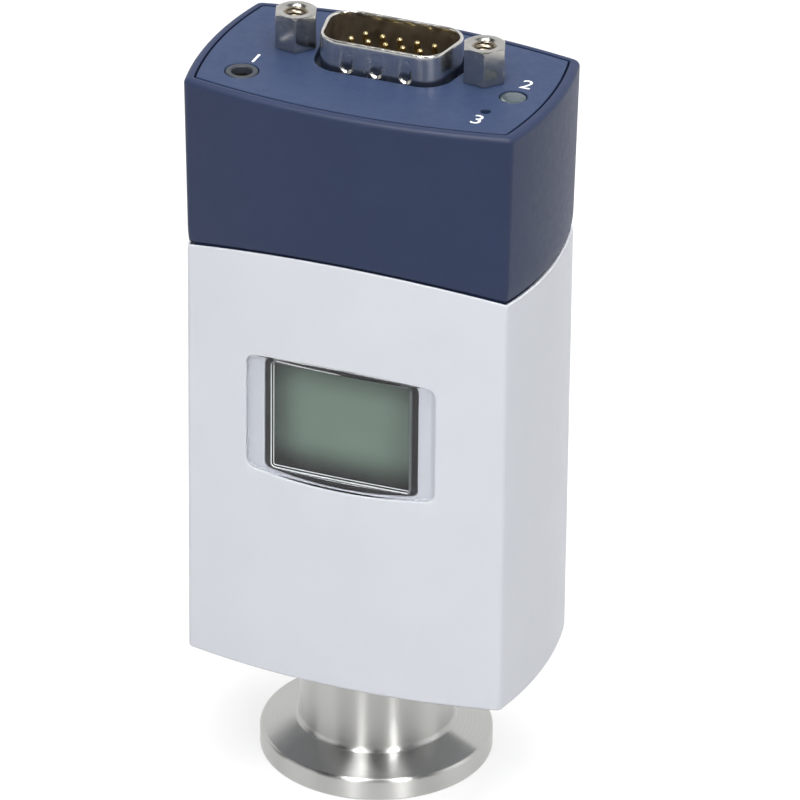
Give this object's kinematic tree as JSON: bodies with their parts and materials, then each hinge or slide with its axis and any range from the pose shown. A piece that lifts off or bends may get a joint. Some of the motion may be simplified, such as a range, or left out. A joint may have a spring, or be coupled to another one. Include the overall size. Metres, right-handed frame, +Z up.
{
  "type": "pirani vacuum gauge",
  "caption": "Compact Pirani vacuum gauge: bowed pale housing with a display, blue cap with a pin connector and jackscrews, and a sensor tube with a small clamp flange.",
  "frame": {"origin": "centre of the flange's sealing face", "axes": "+Z up the sensor tube, display facing -Y, status light towards +X"},
  "size_m": [0.046, 0.03, 0.1012],
  "materials": {
    "painted_white": "smooth satin paint, light grey white",
    "blue_plastic": "fine matt dark blue moulding",
    "clear_lens": "clear polished plastic window",
    "lcd_glass": "grey-green display glass",
    "black_plastic": "black moulding",
    "white_plastic": "white light guide",
    "board": "green circuit board",
    "nickel": "bright nickel plate",
    "insulator": "dark insulating moulding",
    "gold": "gold plate",
    "stainless": "turned stainless steel",
    "light": "pale translucent light pipe",
    "seal_glass": "green sealing glass",
    "filament": "tungsten wire"
  },
  "bodies": {
    "gauge": {"housing": "painted_white", "cap": "blue_plastic", "top_plate": "blue_plastic", "display_lens": "clear_lens", "display_glass": "lcd_glass", "display_carrier": "black_plastic", "backlight": "white_plastic", "display_board": "board", "connector_shell": "nickel", "connector_insulator": "insulator", "connector_pins": "gold", "jackscrews": "nickel", "jackscrew_nuts": "nickel", "jack_body": "black_plastic", "jack_sleeve": "nickel", "light_pipe": "light", "status_lamp": "white_plastic", "adjust_switch": "black_plastic", "connector_board": "board", "board_strip": "black_plastic", "main_board": "board", "display_strip": "black_plastic", "sensor_board": "board", "sensor_flange": "stainless", "ring_nut": "stainless", "sensor_header": "stainless", "glass_seals": "seal_glass", "header_pins": "gold", "filament": "filament"},
    "button": {"adjust_button": "black_plastic"}
  },
  "joints": [
    {"name": "adjust_press", "type": "slide", "parent": "gauge", "child": "button", "axis": [0, 0, -1], "range_m": [0, 0.0003], "stiffness_N_per_m": 3000}
  ]
}
